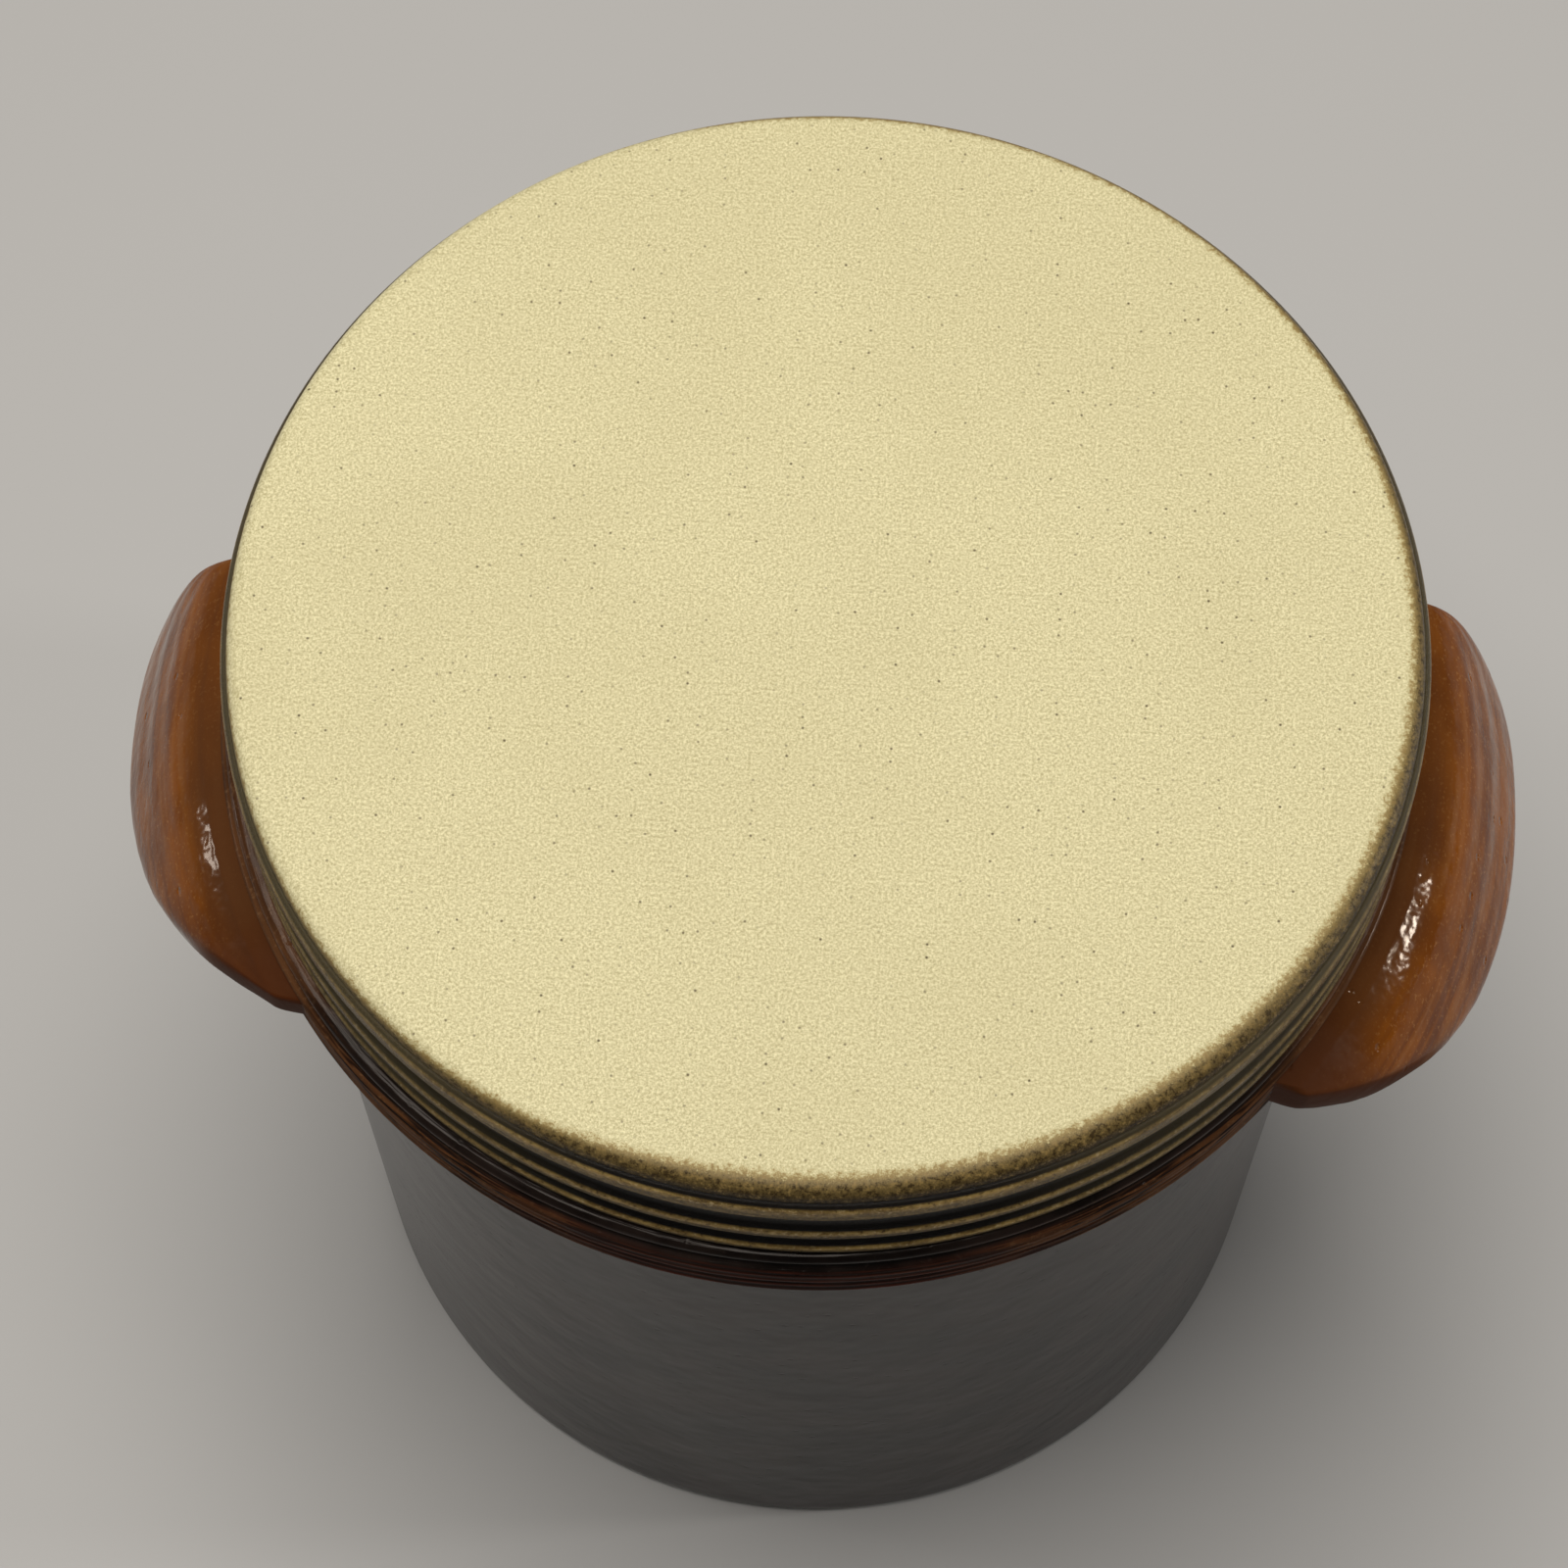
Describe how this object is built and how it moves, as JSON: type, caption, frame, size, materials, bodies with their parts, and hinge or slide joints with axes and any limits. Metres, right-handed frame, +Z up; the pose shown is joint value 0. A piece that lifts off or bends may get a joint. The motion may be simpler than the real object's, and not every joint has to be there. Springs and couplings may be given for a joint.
{
  "type": "flour canister",
  "caption": "Round glazed stoneware flour canister with a ridged collar, ribbed lug handles at its sides and a thick flat lift-off lid with a fluted edge.",
  "frame": {"origin": "centre of the jar's foot, on the surface that it stands on", "axes": "+Z up along the jar's axis, +X through the right lug handle and -X through the left one, which both reach further to the front than to the back, -Y out of the plain front of the jar"},
  "size_m": [0.2162, 0.178, 0.202],
  "materials": {
    "brown_glaze": "glossy dark brown glaze",
    "tan_glaze": "glossy orange-brown glaze over throwing ribs",
    "cream_glaze": "satin cream glaze that breaks to olive brown at the fluted edge"
  },
  "bodies": {
    "jar": {"jar_body": "brown_glaze", "right_lug_handle": "tan_glaze", "left_lug_handle": "tan_glaze"},
    "lid": {"lid": "cream_glaze"}
  },
  "joints": [
    {"name": "lid_lift", "type": "slide", "parent": "jar", "child": "lid", "axis": [0, 0, 1], "range_m": [0, 0.12]}
  ]
}
